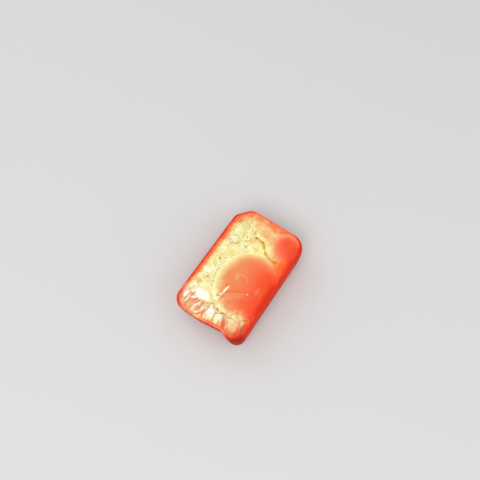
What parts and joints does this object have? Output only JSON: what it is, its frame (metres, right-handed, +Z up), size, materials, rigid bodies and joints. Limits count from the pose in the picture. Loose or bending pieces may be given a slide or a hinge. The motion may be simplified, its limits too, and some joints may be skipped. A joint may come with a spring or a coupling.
{
  "type": "copper ingot",
  "caption": "Small open-mould copper ingot, still glowing: a tapered block with a rolled rim, one cut corner and round pools, cracks and pleats in its free cast surface.",
  "frame": {"origin": "centre of the ingot's footprint, on its flat underside", "axes": "+X along the length towards the end with the cut corner, +Y across the width, +Z up out of the free cast surface"},
  "size_m": [0.0416, 0.0266, 0.0113],
  "materials": {
    "hot_copper": "satin"
  },
  "bodies": {
    "root": {"ingot": "hot_copper"}
  },
  "joints": []
}
